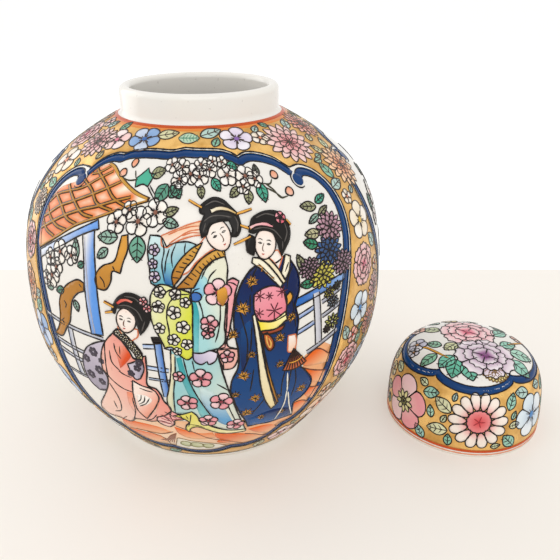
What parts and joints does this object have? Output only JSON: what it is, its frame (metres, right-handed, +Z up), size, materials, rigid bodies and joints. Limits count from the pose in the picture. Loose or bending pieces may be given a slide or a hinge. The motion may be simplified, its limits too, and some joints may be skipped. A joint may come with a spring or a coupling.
{
  "type": "ginger jar",
  "caption": "Full-bellied porcelain ginger jar on a low foot ring, with its cap-shaped lid lifted off and standing beside it.",
  "frame": {"origin": "middle of the circle on which the jar's foot ring stands, on the table", "axes": "+Z up along the jar's axis, towards the mouth; +X towards the side where the lid stands, +Y away from the figure panel that faces the front"},
  "size_m": [0.2681, 0.177, 0.176],
  "materials": {
    "porcelain": "clear gloss glaze over white porcelain",
    "cobalt": "blue painted under the clear glaze",
    "gilding": "fired gilt ground, satin, with brush mottling",
    "enamel": "raised overglaze enamels in many colours, gloss"
  },
  "bodies": {
    "jar": {"jar_body": "porcelain"},
    "lid": {"lid": "porcelain"}
  },
  "joints": [
    {"name": "lid_lift", "type": "slide", "parent": "jar", "child": "lid", "axis": [0, 0, 1], "range_m": [0, 0.2]}
  ]
}
